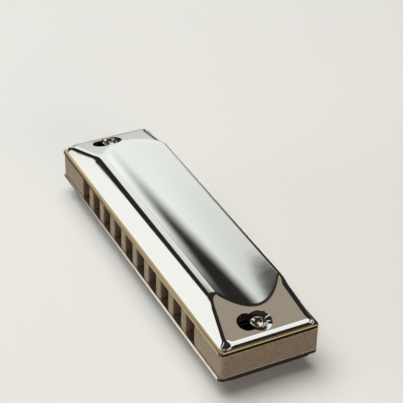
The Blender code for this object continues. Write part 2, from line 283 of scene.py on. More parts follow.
class Shader:
    """A Principled material with short calls for its nodes."""

    def __init__(self, name, colour, metallic, roughness):
        self.material = bpy.data.materials.new(name)
        self.material.use_nodes = True
        self.tree = self.material.node_tree
        self.bsdf = self.tree.nodes["Principled BSDF"]
        self.bsdf.inputs["Base Color"].default_value = (*colour, 1)
        self.bsdf.inputs["Metallic"].default_value = metallic
        self.bsdf.inputs["Roughness"].default_value = roughness
        self.coords = self.tree.nodes.new("ShaderNodeTexCoord").outputs["Object"]

    def stretched(self, scale):
        node = self.tree.nodes.new("ShaderNodeMapping")
        node.inputs["Scale"].default_value = scale
        self.tree.links.new(self.coords, node.inputs["Vector"])
        return node.outputs["Vector"]

    def noise(self, scale, detail=3.0, roughness=0.5):
        """A noise value; scale is in features per metre, one number or one for each axis."""
        scales = scale if isinstance(scale, tuple) else (scale, scale, scale)
        node = self.tree.nodes.new("ShaderNodeTexNoise")
        node.inputs["Scale"].default_value = 1.0
        node.inputs["Detail"].default_value = detail
        node.inputs["Roughness"].default_value = roughness
        self.tree.links.new(self.stretched(scales), node.inputs["Vector"])
        return node.outputs["Fac"]

    def remap(self, value, low, high, start=0.3, stop=0.7):
        node = self.tree.nodes.new("ShaderNodeMapRange")
        node.inputs["From Min"].default_value = start
        node.inputs["From Max"].default_value = stop
        node.inputs["To Min"].default_value = low
        node.inputs["To Max"].default_value = high
        self.tree.links.new(value, node.inputs["Value"])
        return node.outputs["Result"]

    def mix(self, share, first, second):
        node = self.tree.nodes.new("ShaderNodeMix")
        node.data_type = "RGBA"
        node.inputs["A"].default_value = (*first, 1)
        node.inputs["B"].default_value = (*second, 1)
        self.tree.links.new(share, node.inputs["Factor"])
        return node.outputs["Result"]

    def feed(self, socket, value):
        self.tree.links.new(value, self.bsdf.inputs[socket])

    def bump(self, height, distance, strength):
        node = self.tree.nodes.new("ShaderNodeBump")
        node.inputs["Distance"].default_value = distance
        node.inputs["Strength"].default_value = strength
        self.tree.links.new(height, node.inputs["Height"])
        last = self.bsdf.inputs["Normal"]
        if last.is_linked:
            self.tree.links.new(last.links[0].from_socket, node.inputs["Normal"])
        self.tree.links.new(node.outputs["Normal"], last)


def chrome_material():
    """Mirror chrome with the faint cloudiness and hairlines of a handled cover."""
    made = Shader("polished_chrome", (0.86, 0.87, 0.85), 1.0, 0.07)
    made.feed("Roughness", made.remap(made.noise(60.0, 4.0), 0.05, 0.10))
    cloud = made.noise(90.0, 5.0, 0.6)
    made.feed("Base Color", made.mix(cloud, (0.84, 0.85, 0.83), (0.88, 0.88, 0.86)))
    made.bump(made.noise((30.0, 3000.0, 3000.0), 2.0), 0.0000015, 0.25)
    made.bump(made.noise(110.0, 2.0), 0.00003, 0.5)
    return made.material


def comb_material():
    """Blasted metal: a fine even grain, warm grey, a little lighter and darker at random."""
    made = Shader("blasted_comb", (0.36, 0.32, 0.26), 0.55, 0.5)
    grain = made.noise(3600.0, 4.0, 0.7)
    tone = made.mix(made.remap(grain, 0.0, 1.0, 0.38, 0.62), (0.26, 0.20, 0.14), (0.57, 0.46, 0.35))
    made.feed("Base Color", tone)
    made.feed("Roughness", made.remap(made.noise(900.0), 0.42, 0.58))
    made.bump(grain, 0.00012, 0.8)
    return made.material


def brushed_material(name, dark, light, roughness, along, fine):
    """Metal strip with fine rolling lines that run along one axis, 0 for X and 1 for Y."""
    made = Shader(name, light, 1.0, roughness)
    scale = [fine] * 3
    scale[along] = fine / 60
    lines = made.noise(tuple(scale), 4.0, 0.6)
    made.feed("Base Color", made.mix(made.remap(lines, 0.0, 1.0), dark, light))
    made.feed("Roughness", made.remap(made.noise(250.0), roughness * 0.8, roughness * 1.3))
    made.bump(lines, 0.000004, 0.5)
    return made.material


def turned_material(name, dark, light, roughness):
    """Small plated or bare turned hardware, slightly uneven in tone."""
    made = Shader(name, light, 1.0, roughness)
    made.feed("Base Color", made.mix(made.noise(1400.0, 4.0), dark, light))
    made.feed("Roughness", made.remap(made.noise(2400.0), roughness * 0.7, roughness * 1.4))
    made.bump(made.noise(6000.0), 0.000003, 0.4)
    return made.material


def painted_shade_material():
    """Painted shade: near-black with a faint random cloudiness, for recesses where shade falls."""
    made = Shader("painted_shade_black", (0.012, 0.010, 0.010), 0.0, 0.4)
    cloud = made.noise(1200.0, 4.0)
    made.feed("Base Color", made.mix(cloud, (0.008, 0.006, 0.007), (0.022, 0.018, 0.018)))
    made.bump(made.noise(3000.0), 0.00001, 0.4)
    return made.material


CHROME = chrome_material()
# Painted shade, laid on the keyhole cups, their wells and the cover screws' crosses.
PAINTED_SHADE = painted_shade_material()
COMB = comb_material()
PLATE = brushed_material("plate_brass", (0.44, 0.31, 0.155), (0.62, 0.47, 0.27), 0.085, 0, 9000.0)
# A paler copy of the plate brass for the lower reed plate: a painted highlight along its front edge.
PLATE_PAINTED_HIGHLIGHT = brushed_material("plate_brass_painted_highlight", (0.84, 0.75, 0.60), (0.98, 0.92, 0.80),
                               0.18, 0, 9000.0)
REED = brushed_material("reed_brass", (0.66, 0.48, 0.22), (0.84, 0.66, 0.36), 0.26, 1, 12000.0)
RIVET = turned_material("rivet_brass", (0.62, 0.46, 0.24), (0.78, 0.62, 0.36), 0.3)
STEEL = turned_material("plated_steel", (0.50, 0.48, 0.44), (0.66, 0.64, 0.60), 0.26)
SCREW = turned_material("cover_screw_steel", (0.72, 0.64, 0.48), (0.92, 0.86, 0.72), 0.14)


# ---------- covers

def cover_field(points):
    """Distance-like field of the cover's outer form: zero on it and positive outside."""
    x = np.abs(points[:, 0])
    y = points[:, 1]
    z = points[:, 2]
    crest = z - CREST
    trough = TROUGH_RADIUS - np.hypot(y - TROUGH_Y, z - TROUGH_AXIS_Z)
    form = smooth_max(crest, trough, RIDGE_CREASE)
    panel = (z - END_WALL_HEIGHT) * math.cos(PANEL_SLOPE) + (x - END_X) * math.sin(PANEL_SLOPE)
    form = smooth_max(form, panel, PANEL_CREASE)
    form = smooth_max(form, x - END_X, END_FOLD)
    panel_top = END_X - PANEL_LENGTH
    on_panel = smooth_step(x, panel_top - 1, panel_top + 3)
    at_corner = smooth_step(x, END_X - CORNER_REACH, END_X - 0.5)
    for foot, ridge, folds in LONG_WALLS:
        run = ridge - foot
        length = math.hypot(run, CREST)
        wall = (z * abs(run) - (y - foot) * CREST * math.copysign(1, run)) / length
        fold = folds[0] + (folds[1] - folds[0]) * on_panel + (CORNER_FOLD - folds[1]) * at_corner
        form = smooth_max(form, wall, fold)
    return form


def settle(points, rounds=8):
    """Moves points onto the cover's form; near the foot they only move level."""
    nudge = 0.001
    level = smooth_step(points[:, 2], 0.3, 1.2)
    for _ in range(rounds):
        value = cover_field(points)
        slope = np.empty_like(points)
        for axis in range(3):
            ahead = points.copy()
            ahead[:, axis] += nudge
            behind = points.copy()
            behind[:, axis] -= nudge
            slope[:, axis] = (cover_field(ahead) - cover_field(behind)) / (2 * nudge)
        step = slope.copy()
        step[:, 2] *= level
        reach = np.maximum((slope * step).sum(1), 0.05)
        points = points - step * (value / reach)[:, None]
    return points


def roll_foot(points):
    """Turns the lowest edge of the sheet a little inwards."""
    share = np.clip(1 - points[:, 2] / FOOT_ROLL, 0, 1)
    inward = FOOT_ROLL * (1 - np.sqrt(1 - share * share)) * 0.8
    rolled = points.copy()
    rolled[:, 0] -= np.sign(points[:, 0]) * inward * (np.abs(points[:, 0]) > END_X - 0.8)
    rolled[:, 1] -= np.sign(points[:, 1]) * inward * (np.abs(points[:, 1]) > FOOT_BAND_Y)
    return rolled


def cover_rows():
    """The cross-section's points (y, z), from the front foot over the crest to the back foot.

    The last number of each run is the greatest step between two rows.
    """
    wall = chained(spaced(0, 1.8, 0.14), spaced(1.8, CREST - 0.9, 0.35),
                   spaced(CREST - 0.9, CREST, 0.08))
    front_run = FRONT_RIDGE_Y - FRONT_FOOT_Y
    back_run = BACK_RIDGE_Y - BACK_FOOT_Y
    lip = CREST - BACK_LIP
    back_wall = chained(spaced(0, 1.8, 0.14), spaced(1.8, lip, 0.35), spaced(lip, CREST, 0.08))
    front_crease = TROUGH_Y - TROUGH_HALF_WIDTH
    back_crease = TROUGH_Y + TROUGH_HALF_WIDTH
    rows = [(FRONT_FOOT_Y + front_run * z / CREST, z) for z in wall]
    flat = chained(spaced(FRONT_RIDGE_Y, FRONT_RIDGE_Y + 0.9, 0.09),
                   spaced(FRONT_RIDGE_Y + 0.9, front_crease - 0.5, 0.2),
                   spaced(front_crease - 0.5, front_crease, 0.07))
    rows += [(y, CREST) for y in flat[1:]]
    _, _, patch_front, patch_back = recess_patch()
    hollow = chained(spaced(front_crease, patch_front, 0.07),
                     spaced(patch_front, front_crease + 0.5, 0.07),
                     spaced(front_crease + 0.5, patch_back, 0.28),
                     spaced(patch_back, back_crease - 0.5, 0.28),
                     spaced(back_crease - 0.5, back_crease, 0.07))
    for y in hollow[1:-1]:
        rows.append((y, TROUGH_AXIS_Z - math.sqrt(TROUGH_RADIUS ** 2 - (y - TROUGH_Y) ** 2)))
    rows += [(y, CREST) for y in spaced(back_crease, BACK_RIDGE_Y, 0.08)]
    rows += [(BACK_FOOT_Y + back_run * z / CREST, z) for z in back_wall[-2::-1]]
    return rows


def cover_columns():
    """The side outline's points (x, greatest height), from the left foot to the right foot."""
    wall = spaced(0, END_WALL_HEIGHT, 0.11)
    patch_low, patch_high, _, _ = recess_patch()
    past_panel = END_X - PANEL_LENGTH - 1.2
    inward = chained(spaced(END_X, patch_high, 0.09), spaced(patch_high, patch_low, 0.3),
                     spaced(patch_low, past_panel, 0.15),
                     spaced(past_panel, SOUND_OPENING_HALF, 0.3),
                     spaced(SOUND_OPENING_HALF, 0, 4.0))
    slope = math.tan(PANEL_SLOPE)
    right = [(END_X, z) for z in wall[:-1]]
    right += [(x, END_WALL_HEIGHT + (END_X - x) * slope) for x in inward]
    left = [(-x, z) for x, z in right[:-1]]
    return left + right[::-1]


def recess_patch():
    """The rectangle of the end panel that the recess is let into: low x, high x, low y, high y."""
    return (LOBE_X - LOBE_RADIUS - RECESS_MARGIN[0], SCREW_X + RECESS_RADIUS + RECESS_MARGIN[0],
            LOBE_Y - LOBE_RADIUS - RECESS_MARGIN[1], RECESS_Y + RECESS_RADIUS + RECESS_MARGIN[1])


def panel_height(x):
    return END_WALL_HEIGHT + (END_X - abs(x)) * math.tan(PANEL_SLOPE)


def two_circles(points, main_y, radius, lobe_radius):
    """Distance to the outline of two joined circles, the screw's and the lobe's."""
    main = np.hypot(points[:, 0] - SCREW_X, points[:, 1] - main_y) - radius
    lobe = np.hypot(points[:, 0] - LOBE_X, points[:, 1] - LOBE_Y) - lobe_radius
    return smooth_min(main, lobe, 0.5)


def cup_shade_mask(points):
    """Tells which points of the keyhole cups get painted shade: all but the bright side of their
    walls.
    """
    outward = np.abs(points[:, 0])
    level = np.stack((outward, points[:, 1]), 1)
    toward_unshaded = (outward - SCREW_X) * UNSHADED_SIDE[0] + (points[:, 1] - RECESS_Y) * UNSHADED_SIDE[1]
    in_outline = two_circles(level, RECESS_Y, RECESS_RADIUS, LOBE_RADIUS) < -CUP_SHADE_INSET
    return in_outline & (toward_unshaded < UNSHADED_FROM)


def well_shade_mask(points):
    """Tells which points on the walls of the keyhole wells under the cups get painted shade."""
    level = np.stack((np.abs(points[:, 0]), points[:, 1]), 1)
    return two_circles(level, SCREW_Y, COVER_SCREW_BORE, LOBE_HOLE_RADIUS) < COMB_RIM


def keyhole_ring(main_y, radius, lobe_radius, offset=0.0, sides=112):
    """Points of the outline grown by an offset, one on each of the rays from inside it."""
    middle = np.array((LOBE_X * 0.6 + SCREW_X * 0.4, LOBE_Y * 0.6 + SCREW_Y * 0.4))
    angles = np.arange(sides) * 2 * math.pi / sides
    rays = np.stack((np.cos(angles), np.sin(angles)), 1)
    low = np.zeros(sides)
    high = np.full(sides, 9.0)
    for _ in range(40):
        half = (low + high) / 2
        inside = two_circles(middle + rays * half[:, None], main_y, radius, lobe_radius) < offset
        low = np.where(inside, half, low)
        high = np.where(inside, high, half)
    return middle + rays * low[:, None]


def add_recess(shape, side):
    """Fills the gap in one end panel with the pressed keyhole cup."""
    rings = []

    def ring(points, heights):
        rings.append([shape.verts.new((side * x, y, z)) for (x, y), z in zip(points, heights)])

    def outline(offset):
        return keyhole_ring(RECESS_Y, RECESS_RADIUS, LOBE_RADIUS, offset)

    def base(offset):
        return keyhole_ring(SCREW_Y, RECESS_BASE_RADIUS, LOBE_BASE_RADIUS, offset)

    for offset in (RIM_RADIUS + 0.06, RIM_RADIUS):
        points = outline(offset)
        ring(points, [panel_height(x) for x, _ in points])
    quarter_turn = [math.pi / 2 * step / 6 for step in range(1, 7)]
    for angle in quarter_turn:
        points = outline(RIM_RADIUS * (1 - math.sin(angle)))
        ring(points, [panel_height(x) - RIM_RADIUS * (1 - math.cos(angle)) for x, _ in points])
    foot = RECESS_FLOOR + FLOOR_RADIUS
    tops = [panel_height(x) - RIM_RADIUS for x, _ in outline(0)]
    for share in (0.06, 0.3, 0.6, 0.94, 1.0):
        points = outline(0) * (1 - share) + base(0) * share
        ring(points, [top * (1 - share) + foot * share for top in tops])
    for angle in quarter_turn:
        points = base(-FLOOR_RADIUS * (1 - math.cos(angle)))
        ring(points, [foot - FLOOR_RADIUS * math.sin(angle)] * len(points))
    points = base(-FLOOR_RADIUS - 0.03)
    ring(points, [RECESS_FLOOR] * len(points))
    hole = keyhole_ring(SCREW_Y, SCREW_HOLE_RADIUS, LOBE_HOLE_RADIUS)
    ring(hole, [RECESS_FLOOR] * len(hole))

    for outer, inner in zip(rings, rings[1:]):
        for index in range(len(outer)):
            after = (index + 1) % len(outer)
            shape.faces.new((outer[index], outer[after], inner[after], inner[index]))
    rim = {shape.edges.get((a, b)) for a, b in zip(rings[0], rings[0][-1:] + rings[0])}
    hole_edge = {shape.edges.get((a, b)) for a, b in zip(rings[-1], rings[-1][-1:] + rings[-1])}
    low_x, high_x, low_y, high_y = recess_patch()
    slack = 0.01
    border = []
    for edge in shape.edges:
        centre = (edge.verts[0].co + edge.verts[1].co) / 2
        in_reach = low_x - slack < side * centre.x < high_x + slack
        in_reach = in_reach and low_y - slack < centre.y < high_y + slack
        if in_reach and edge.is_boundary and edge not in rim and edge not in hole_edge:
            border.append(edge)
    bmesh.ops.triangle_fill(shape, use_beauty=True, edges=list(rim) + border)


def cover_mesh():
    """The whole pressed cover as one sheet: folds, hollow, keyhole cups and sound opening."""
    rows = cover_rows()
    columns = cover_columns()
    section = np.array(rows)
    side = np.array(columns)
    points = np.empty((len(rows), len(columns), 3))
    points[:, :, 0] = side[None, :, 0]
    points[:, :, 1] = section[:, None, 0]
    points[:, :, 2] = np.minimum(section[:, None, 1], side[None, :, 1])
    points = roll_foot(settle(points.reshape(-1, 3))).reshape(points.shape)

    low_x, high_x, low_y, high_y = recess_patch()
    lip = CREST - BACK_LIP
    shape = bmesh.new()
    verts = [[shape.verts.new(points[i, j]) for j in range(len(columns))] for i in range(len(rows))]
    for i in range(len(rows) - 1):
        y = (rows[i][0] + rows[i + 1][0]) / 2
        in_back_wall = y > BACK_RIDGE_Y and (rows[i][1] + rows[i + 1][1]) / 2 < lip
        for j in range(len(columns) - 1):
            x = abs(columns[j][0] + columns[j + 1][0]) / 2
            if in_back_wall and x < SOUND_OPENING_HALF:
                continue
            if low_x < x < high_x and low_y < y < high_y:
                continue
            shape.faces.new((verts[i][j], verts[i][j + 1], verts[i + 1][j + 1], verts[i + 1][j]))
    bmesh.ops.remove_doubles(shape, verts=shape.verts, dist=0.00001)
    loose = [v for v in shape.verts if not v.link_faces]
    bmesh.ops.delete(shape, geom=loose, context="VERTS")
    for end in (-1, 1):
        add_recess(shape, end)
    mesh = mesh_from("cover_sheet", shape)
    mesh.shade_smooth()
    return mesh


def make_covers():
    sheet = link(bpy.data.objects.new("upper_cover_sheet", cover_mesh()))
    solid = sheet.modifiers.new("sheet", "SOLIDIFY")
    solid.thickness = SHEET * MM
    solid.offset = -1
    solid.use_even_offset = False
    upper = baked_mesh(sheet)
    lower = upper.copy()
    lower.name = "lower_cover_sheet"
    upper.transform(Matrix.Translation((0, 0, UPPER_FACE * MM)))
    lower.transform(Matrix.Translation((0, 0, LOWER_FACE * MM)) @ Matrix.Rotation(math.pi, 4, "Y"))
    upper = crisp(upper, 40)
    lower = crisp(lower, 40)
    # Painted shade in the keyhole cups, all but the bright side of their walls.
    paint_shade(piece("upper_cover_shell", upper, CHROME, ["upper_cover"]), cup_shade_mask)
    paint_shade(piece("lower_cover_shell", lower, CHROME, ["lower_cover"]), cup_shade_mask)


# ---------- outlines and bodies

def rounded_outline(corners, radii, steps=8):
    """The closed outline through the corners, each one replaced by an arc of its radius."""
    points = []
    for index, (corner, radius) in enumerate(zip(corners, radii)):
        here = Vector(corner)
        back = (Vector(corners[index - 1]) - here).normalized()
        ahead = (Vector(corners[(index + 1) % len(corners)]) - here).normalized()
        half = math.acos(max(-1.0, min(1.0, back.dot(ahead)))) / 2
        centre = here + (back + ahead).normalized() * radius / math.sin(half)
        start = here + back * radius / math.tan(half) - centre
        sweep = math.copysign(math.pi - 2 * half, ahead.x * back.y - ahead.y * back.x)
        turns = [Matrix.Rotation(sweep * step / steps, 2) for step in range(steps + 1)]
        points += [centre + turn @ start for turn in turns]
    return points


def circle(x, y, radius, sides=40):
    angles = [2 * math.pi * side / sides for side in range(sides)]
    return [Vector((x + radius * math.cos(a), y + radius * math.sin(a))) for a in angles]


def slab_mesh(name, outlines, low, high, rim):
    """A flat plate, the first outline less the others, with all its rims rounded."""
    curve = bpy.data.curves.new(name, "CURVE")
    curve.dimensions = "2D"
    curve.fill_mode = "BOTH"
    curve.extrude = (high - low) / 2 - rim
    curve.bevel_depth = rim
    curve.bevel_resolution = 4
    curve.offset = -rim
    for outline in outlines:
        spline = curve.splines.new("POLY")
        spline.points.add(len(outline) - 1)
        for point, place in zip(spline.points, outline):
            point.co = (place[0], place[1], 0, 1)
        spline.use_cyclic_u = True
    mesh = baked_mesh(link(bpy.data.objects.new(name, curve)))
    bpy.data.curves.remove(curve)
    shape = bmesh.new()
    shape.from_mesh(mesh)
    bmesh.ops.remove_doubles(shape, verts=shape.verts, dist=0.002)
    bmesh.ops.translate(shape, vec=(0, 0, (low + high) / 2), verts=shape.verts)
    return crisp(mesh_from(name, shape), 25)


def turned_mesh(name, profile, sides, reshape=None, closed=False):
    """A body turned about Z; its profile of (radius, height) runs down from the top.

    A closed profile makes a ring. The reshape call moves each point, given as x, y and z.
    """
    shape = bmesh.new()
    rings = []
    for radius, height in profile:
        ring = []
        for side in range(sides if radius > 0 else 1):
            angle = 2 * math.pi * side / sides
            place = (radius * math.cos(angle), radius * math.sin(angle), height)
            ring.append(shape.verts.new(reshape(*place) if reshape else place))
        rings.append(ring)
    runs = list(zip(rings, rings[1:]))
    if closed:
        runs.append((rings[-1], rings[0]))
    for upper, lower in runs:
        for side in range(sides):
            after = (side + 1) % sides
            corners = [upper[side % len(upper)], upper[after % len(upper)],
                       lower[after % len(lower)], lower[side % len(lower)]]
            shape.faces.new(list(dict.fromkeys(corners)))
    bmesh.ops.dissolve_degenerate(shape, edges=shape.edges, dist=0.0005)
    return mesh_from(name, shape)


def move_mm(mesh, x, y, z):
    """Moves a mesh by a distance in millimetres."""
    mesh.transform(Matrix.Translation(Vector((x, y, z)) * MM))


# ---------- comb, reed plates and reeds

def share_of_row(hole):
    return hole / (HOLES - 1)


def reed_box(kind, hole):
    return box_mm(f"{kind}_reed_{hole + 1:02d}")


def reed_width(hole):
    return WIDEST_REED + (NARROWEST_REED - WIDEST_REED) * share_of_row(hole)


def plate_screw_bores():
    spots = [middle_mm(f"reed_plate_screw_{number}") for number in range(1, 9)]
    return [circle(spot.x, spot.y, SCREW_BORE) for spot in spots]


def cover_screw_bores(kind):
    """Keyholes under the upper cover's lobes, and plain bores in the lower plate."""
    if kind == "draw":
        return [circle(end * SCREW_X, SCREW_Y, COVER_SCREW_BORE) for end in (-1, 1)]
    well = keyhole_ring(SCREW_Y, COVER_SCREW_BORE, LOBE_HOLE_RADIUS)
    return [[(end * x, y) for x, y in well] for end in (-1, 1)]


def make_comb():
    """The body: one block with its channels cut in from the mouthpiece, all rims rounded."""
    half_x = LENGTH / 2
    front = COMB_FRONT_INSET - DEPTH / 2
    corners = [(-half_x, front)]
    radii = [CORNER_RADIUS]
    for hole in range(HOLES):
        low, high = reed_box("blow", hole)
        middle = (low.x + high.x) / 2
        rear = high.y + PAD_END_GAP
        left = middle - HOLE_WIDTH / 2
        right = middle + HOLE_WIDTH / 2
        corners += [(left, front), (left, rear), (right, rear), (right, front)]
        radii += [MOUTH_RADIUS, REAR_RADIUS, REAR_RADIUS, MOUTH_RADIUS]
    corners += [(half_x, front), (half_x, DEPTH / 2), (-half_x, DEPTH / 2)]
    radii += [CORNER_RADIUS] * 3
    outlines = [rounded_outline(corners, radii)] + plate_screw_bores() + cover_screw_bores("blow")
    low = PLATES["draw"][1].z + SEAM
    high = PLATES["blow"][0].z - SEAM
    mesh = slab_mesh("comb_block", outlines, low, high, COMB_RIM)
    # Painted shade on the walls of the keyhole wells.
    paint_shade(piece("comb_block", mesh, COMB, ["comb"]), well_shade_mask)


def plate_outlines(kind):
    """The reed plate's edge, then its slots, rivet holes and screw holes."""
    half_x = LENGTH / 2
    half_y = DEPTH / 2
    corners = [(-half_x, -half_y), (half_x, -half_y), (half_x, half_y), (-half_x, half_y)]
    outlines = [rounded_outline(corners, [CORNER_RADIUS] * 4)]
    for hole in range(HOLES):
        low, high = reed_box(kind, hole)
        middle = (low.x + high.x) / 2
        half = reed_width(hole) / 2 + SLOT_SIDE_GAP
        root = high.y - REED_PAD
        slot = [(middle - half, low.y - SLOT_SIDE_GAP), (middle + half, low.y - SLOT_SIDE_GAP),
                (middle + half, root), (middle - half, root)]
        outlines.append(rounded_outline(slot, [SLOT_RADIUS] * 4, steps=3))
        outlines.append(circle(middle, root + REED_PAD / 2, RIVET_BORE, 24))
    return outlines + plate_screw_bores() + cover_screw_bores(kind)


def make_reed_plates():
    # The lower plate gets the paler brass that is a painted highlight.
    for kind, node, material in (("blow", "upper_reed_plate", PLATE),
                                 ("draw", "lower_reed_plate", PLATE_PAINTED_HIGHLIGHT)):
        low, high = PLATES[kind]
        mesh = slab_mesh(f"{node}_strip", plate_outlines(kind), low.z, high.z, PLATE_RIM[kind])
        strip = piece(f"{node}_strip", mesh, material, [node])
        # Painted shade on the walls of the upper plate's keyhole wells.
        if kind == "blow":
            paint_shade(strip, well_shade_mask)


def lofted_mesh(name, sections):
    """A flat bar through cross-sections, each one as (middle x, y, half width, top, foot)."""
    shape = bmesh.new()
    rings = []
    for middle, y, wide, top, foot in sections:
        corners = [(-wide + REED_EDGE, top), (wide - REED_EDGE, top), (wide, top - REED_EDGE),
                   (wide, foot + REED_EDGE), (wide - REED_EDGE, foot), (-wide + REED_EDGE, foot),
                   (-wide, foot + REED_EDGE), (-wide, top - REED_EDGE)]
        rings.append([shape.verts.new((middle + x, y, z)) for x, z in corners])
    for back, front in zip(rings, rings[1:]):
        for index in range(len(back)):
            after = (index + 1) % len(back)
            shape.faces.new((back[index], back[after], front[after], front[index]))
    shape.faces.new(rings[0])
    shape.faces.new(rings[-1])
    return crisp(mesh_from(name, shape))


def tongue_mesh(kind, hole):
    """A tongue milled thin behind its tip, which stands off its slot a little."""
    low, high = reed_box(kind, hole)
    middle = (low.x + high.x) / 2
    root = high.y - REED_PAD - ROOT_GAP
    half = reed_width(hole) / 2
    face = PLATES[kind][0].z - SEAM
    outline = [(low.y, half - REED_EDGE, TIP_THICKNESS[0]),
               (low.y + REED_EDGE, half, TIP_THICKNESS[1])]
    waist = 0.55 - 0.25 * share_of_row(hole)        # from the tip, as a share of the reed
    for share in spaced(0.04, 1.0, 0.04):
        milled = MILLED_DEPTH * math.exp(-((share - waist) / MILLED_SPREAD) ** 2)
        thickness = REED_THICKNESS - milled
        outline.append((low.y + (root - low.y) * share, half, thickness))
    sections = []
    for y, wide, thickness in outline:
        top = face - TIP_GAP * ((root - y) / (root - low.y)) ** 2
        sections.append((middle, y, wide, top, top - thickness))
    return lofted_mesh(f"{kind}_reed_tongue_{hole + 1:02d}", sections)


def pad_mesh(kind, hole):
    """The square pad that is riveted down, which doesn't move with the tongue."""
    low, high = reed_box(kind, hole)
    middle = (low.x + high.x) / 2
    half = REED_PAD / 2
    face = PLATES[kind][0].z - SEAM
    foot = face - REED_THICKNESS
    root = high.y - REED_PAD
    outline = [(root, half - REED_EDGE), (root + REED_EDGE, half), (high.y - REED_EDGE, half),
               (high.y, half - REED_EDGE)]
    sections = [(middle, y, wide, face, foot) for y, wide in outline]
    return lofted_mesh(f"{kind}_reed_pad_{hole + 1:02d}", sections)


def make_reeds():
    for kind in KINDS:
        for hole in range(HOLES):
            node = f"{kind}_reed_{hole + 1:02d}"
            tongue = tongue_mesh(kind, hole)
            piece(tongue.name, tongue, REED, [node], body=node)
            pad = pad_mesh(kind, hole)
            piece(pad.name, pad, REED, [])


# ---------- rivets, screws and nuts

def rivet_profile(length):
    """Two domed heads on a short shank, from the top down; zero is the upper head's top."""
    head = RIVET_HEAD_RADIUS
    dome = [(head * math.sin(a), RIVET_HEAD_HEIGHT * (math.cos(a) - 1))
            for a in np.linspace(0, 1.35, 9)]
    rim = dome[-1][1]
    under = rim - HEAD_CHAMFER
    upper = dome + [(head * 0.99, rim - 0.05), (head * 0.93, under), (RIVET_SHANK, under)]
    lower = [(radius, -length - z) for radius, z in upper]
    return upper + lower[::-1]


def make_rivets():
    for kind in KINDS:
        for hole in range(HOLES):
            node = f"{kind}_rivet_{hole + 1:02d}"
            spot = middle_mm(node)
            name = f"{kind}_rivet_domed_{hole + 1:02d}"
            top = PLATES[kind][1].z + RIVET_STAND
            foot = PLATES[kind][0].z - SEAM - REED_THICKNESS - RIVET_STAND
            mesh = turned_mesh(name, rivet_profile(top - foot), 32)
            move_mm(mesh, spot.x, spot.y, top)
            piece(name, crisp(mesh, 50), RIVET, [node])


def depth_in_cross(x, y, length, width, turn):
    """How far points lie inside a cross of two bars; negative outside it."""
    u = np.abs(x * math.cos(turn) + y * math.sin(turn))
    v = np.abs(y * math.cos(turn) - x * math.sin(turn))
    first = np.maximum(u - length / 2, v - width / 2)
    second = np.maximum(u - width / 2, v - length / 2)
    return -np.minimum(first, second)


def cross_press(length, width, depth, turn, above):
    """A reshape call that sinks a tapered cross into everything above a height."""
    def press(x, y, z):
        if z < above:
            return x, y, z
        share = float(smooth_step(depth_in_cross(x, y, length, width, turn), *CROSS_WALL))
        taper = 1 - CROSS_TAPER * min(1.0, math.hypot(x, y) / (length / 2))
        return x, y, z - depth * share * taper
    return press


def screw_profile(head_radius, head_height, edge, shank, length, pitch):
    """A domed head and a threaded shank, from the top down; zero is the head's seat."""
    swing = 1.32                # half the angle of the dome's arc
    dome = []
    for radius in spaced(0, head_radius, 0.055):
        angle = math.asin(min(1.0, radius / head_radius * math.sin(swing)))
        fall = (1 - math.cos(angle)) / (1 - math.cos(swing))
        dome.append((radius, head_height - (head_height - edge) * fall))
    profile = dome + [(head_radius, edge * 0.5), (head_radius, HEAD_CHAMFER),
                      (head_radius - HEAD_CHAMFER, 0), (shank, 0)]
    core = shank - THREAD_DEPTH
    turns = int((length - 1.0) / pitch)
    for turn in range(turns):
        height = -THREAD_START - turn * pitch
        profile += [(shank, height), (shank, height - 0.12 * pitch),
                    (core, height - 0.45 * pitch), (core, height - 0.6 * pitch)]
    return profile + [(core, POINT[1] - length), (core - POINT[0], -length), (0, -length)]


def make_plate_screws():
    """Small pan heads with a cross, screwed through both reed plates and the comb."""
    for number in range(1, 9):
        node = f"reed_plate_screw_{number}"
        low, high = box_mm(node)
        seat = UPPER_FACE + SEAM
        profile = screw_profile(PLATE_HEAD_RADIUS, PLATE_HEAD_HEIGHT, PLATE_HEAD_EDGE,
                                PLATE_SHANK, seat - low.z, PLATE_PITCH)
        name = f"{node}_pan_head"
        turn = PLATE_CROSS_TURN * number
        press = cross_press(*PLATE_CROSS, PLATE_CROSS_DEPTH, turn, above=0.2)
        mesh = turned_mesh(name, profile, 56, press)
        move_mm(mesh, (low.x + high.x) / 2, (low.y + high.y) / 2, seat)
        piece(name, crisp(mesh, 50), STEEL, [node])


def hexagon_clip(x, y, z):
    """A reshape call that keeps a turned blank inside a hexagon of the nut's size."""
    angle = math.atan2(y, x) % (math.pi / 3) - math.pi / 6
    flat = NUT_RADIUS * math.cos(math.pi / 6) / math.cos(angle)
    shrink = min(1.0, flat / math.hypot(x, y))
    return x * shrink, y * shrink, z


def nut_profile(height, bore):
    """A ring's points: two chamfered faces and a threaded bore."""
    flat = NUT_RADIUS * math.cos(math.pi / 6)
    chamfer = [(flat + (NUT_RADIUS - flat) * share, height - NUT_CHAMFER * share)
               for share in spaced(-0.1, 1, 0.16)]
    upper = [(bore + 0.22, height)] + chamfer
    lower = [(radius, height - z) for radius, z in upper[::-1]]
    thread = [(bore + 0.02 + 0.12 * (step % 2), 0.2 + (height - 0.4) * step / 6)
              for step in range(7)]
    return upper + lower + thread


